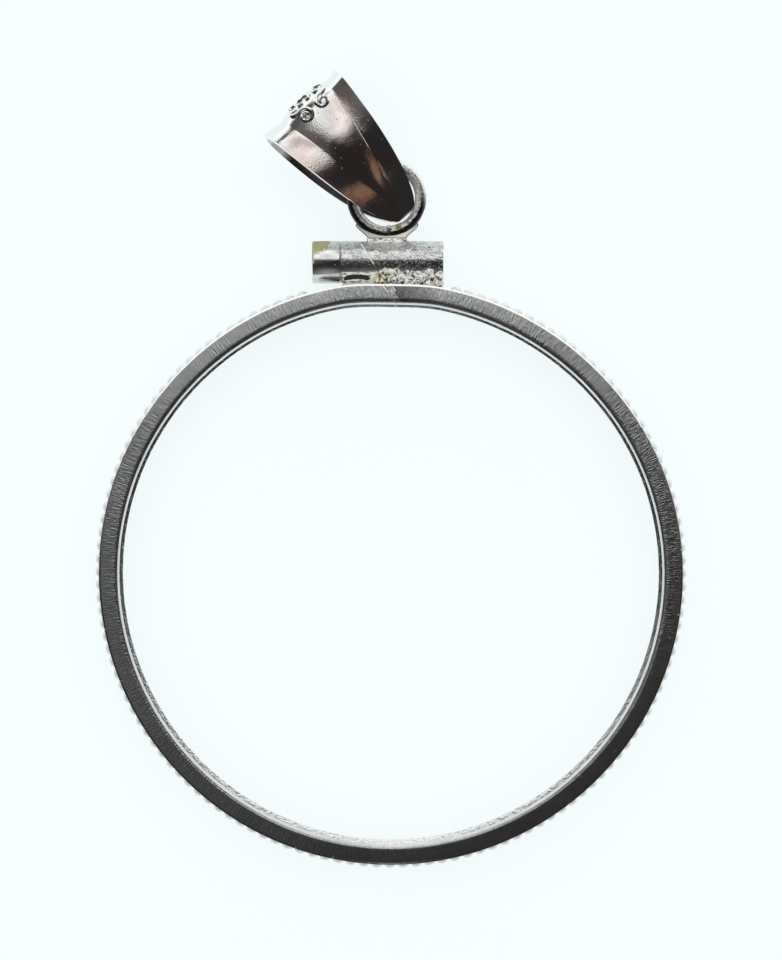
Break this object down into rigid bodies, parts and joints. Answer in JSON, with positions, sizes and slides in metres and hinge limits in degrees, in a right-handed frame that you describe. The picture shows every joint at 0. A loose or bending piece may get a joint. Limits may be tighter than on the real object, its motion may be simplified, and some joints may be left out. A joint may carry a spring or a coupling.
{
  "type": "coin bezel pendant",
  "caption": "Empty screw-top coin bezel pendant in silver: a split round rim with a milled edge, a clamp barrel with its screw, and a tapered bail on a wire loop.",
  "frame": {"origin": "on the ring's axis, at the level of its back face, which the pendant lies on", "axes": "+Z along the ring's axis from back to front, +Y from the ring's centre to the clamp and the bail, +X to the right seen from the front"},
  "size_m": [0.0402, 0.0542, 0.0046],
  "materials": {
    "frame_silver": "sterling silver, tumbled to a soft shine, with solder and light tarnish round the clamp",
    "screw_silver": "sterling silver, turned and polished, with a patch of yellow-green tarnish",
    "bail_silver": "sterling silver, stamped and highly polished, with a warm tarnish film"
  },
  "bodies": {
    "frame": {"bezel_frame": "frame_silver"},
    "screw": {"clamp_screw": "screw_silver"},
    "bail": {"bail": "bail_silver"}
  },
  "joints": [
    {"name": "screw_slide", "type": "slide", "parent": "frame", "child": "screw", "axis": [-1, 0, 0], "range_m": [0, 0.0066]},
    {"name": "bail_swing", "type": "hinge", "parent": "frame", "child": "bail", "pos_m": [-0.0003, 0.0255, 0.00175], "axis": [0, 0, 1], "range_deg": [-120, 38]}
  ]
}
